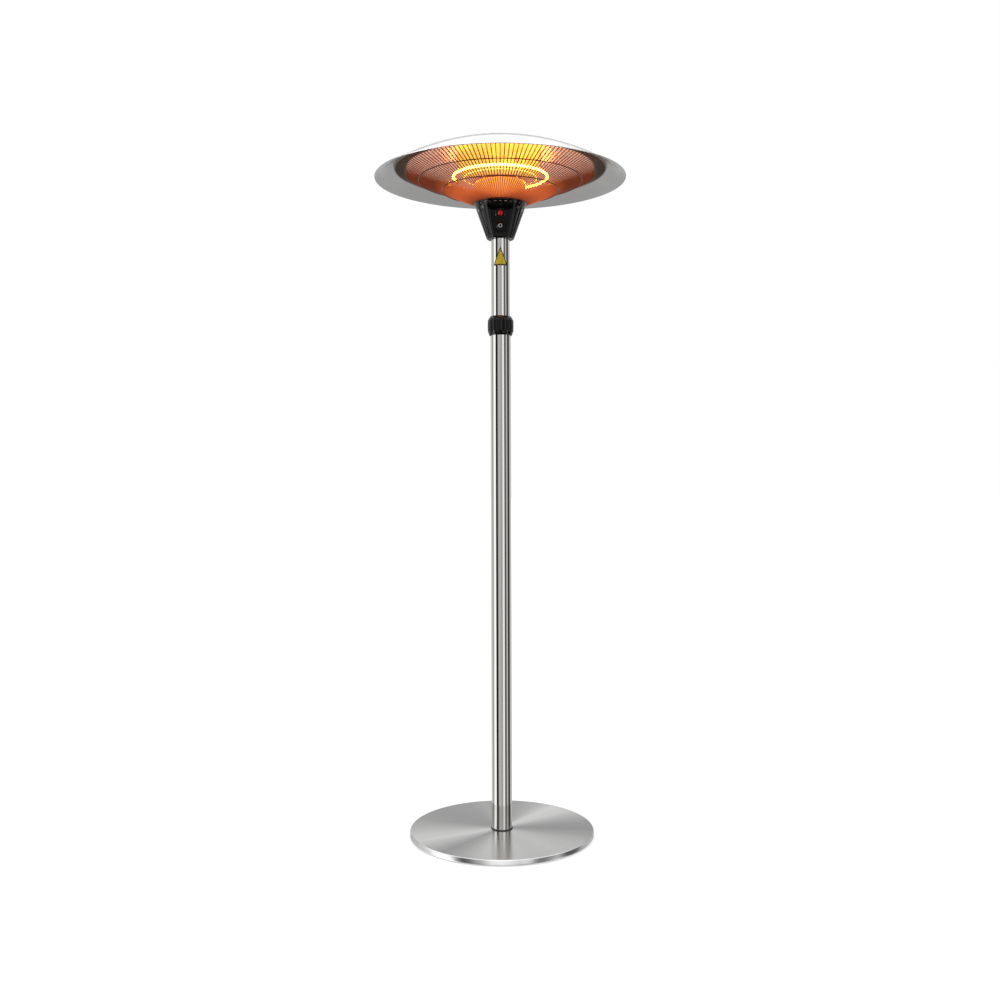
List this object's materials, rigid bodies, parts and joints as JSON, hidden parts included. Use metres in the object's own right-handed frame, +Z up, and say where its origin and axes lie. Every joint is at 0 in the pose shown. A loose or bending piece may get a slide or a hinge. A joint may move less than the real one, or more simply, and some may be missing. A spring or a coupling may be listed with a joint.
{
  "type": "outdoor heater",
  "caption": "Free-standing electric outdoor heater: round base, telescopic steel mast with clamp collar, and a parasol hood over a guarded ring lamp",
  "frame": {"origin": "centre of the base's underside, on the floor under the mast", "axes": "+Z up along the mast, -Y towards the front with the control panel, +X to the right seen from the front with +Y at the back"},
  "size_m": [0.6, 0.6, 1.6626],
  "materials": {
    "brushed_steel": "brushed",
    "cast_steel": "matte",
    "rubber": "matte",
    "zinc_steel": "satin",
    "stainless_tube": "polished",
    "black_plastic": "semi-gloss",
    "nylon": "matte",
    "label": "satin",
    "red_lens": "gloss",
    "circuit_board": "matte",
    "relay_case": "satin",
    "polished_aluminium": "polished",
    "chromed_wire": "polished",
    "hood_aluminium": "satin",
    "quartz": "polished",
    "tungsten": "matte",
    "ceramic": "matte",
    "button_metal": "polished"
  },
  "bodies": {
    "base": {"base_cover": "brushed_steel", "base_ballast": "cast_steel", "foot_pad_1": "rubber", "foot_pad_2": "rubber", "foot_pad_3": "rubber", "foot_pad_4": "rubber", "foot_pad_5": "rubber", "foot_pad_6": "rubber", "mast_foot": "zinc_steel", "base_bolt_1": "zinc_steel", "base_bolt_2": "zinc_steel", "base_bolt_3": "zinc_steel", "clamp_washer": "zinc_steel", "mast_trim_ring": "rubber", "lower_tube": "stainless_tube", "cable_gland": "black_plastic", "gland_nut": "black_plastic", "collar_sleeve": "black_plastic", "collar_collet": "nylon"},
    "collar": {"collar_ring": "black_plastic"},
    "carriage": {"glide_bush": "nylon"},
    "head": {"upper_tube": "stainless_tube", "heat_label": "label", "mast_socket": "zinc_steel", "socket_screw": "zinc_steel", "housing_front": "black_plastic", "housing_rear": "black_plastic", "housing_screw_1": "zinc_steel", "housing_screw_2": "zinc_steel", "housing_screw_3": "zinc_steel", "housing_screw_4": "zinc_steel", "indicator_bezel": "black_plastic", "indicator_lens": "red_lens", "button_bezel": "black_plastic", "button_switch": "black_plastic", "control_board": "circuit_board", "relay": "relay_case", "terminal_block": "nylon", "tip_switch": "rubber", "head_plate": "zinc_steel", "column": "polished_aluminium", "guard": "chromed_wire", "guard_clamp_ring": "zinc_steel", "reflector": "polished_aluminium", "hood": "hood_aluminium", "tie_rod_1": "zinc_steel", "tie_rod_2": "zinc_steel", "tie_rod_3": "zinc_steel", "cap_nut_1": "zinc_steel", "cap_nut_2": "zinc_steel", "cap_nut_3": "zinc_steel", "lamp_tube": "quartz", "filament": "tungsten", "lamp_end_1": "ceramic", "lamp_end_2": "ceramic", "lamp_clip_1": "zinc_steel", "lamp_clip_2": "zinc_steel", "lamp_clip_3": "zinc_steel", "heat_shield": "zinc_steel"},
    "button": {"power_button": "button_metal"}
  },
  "joints": [
    {"name": "height_slide", "type": "slide", "parent": "base", "child": "carriage", "axis": [0, 0, 1], "range_m": [-0.11, 0.4]},
    {"name": "mast_swivel", "type": "hinge", "parent": "carriage", "child": "head", "pos_m": [0, 0, 0.72], "axis": [0, 0, 1], "continuous": true},
    {"name": "collar_twist", "type": "hinge", "parent": "base", "child": "collar", "pos_m": [0, 0, 1.217], "axis": [0, 0, 1], "range_deg": [0, 90]},
    {"name": "button_press", "type": "slide", "parent": "head", "child": "button", "axis": [0, 0.9563, 0.2924], "range_m": [0, 0.003], "stiffness_N_per_m": 500}
  ]
}
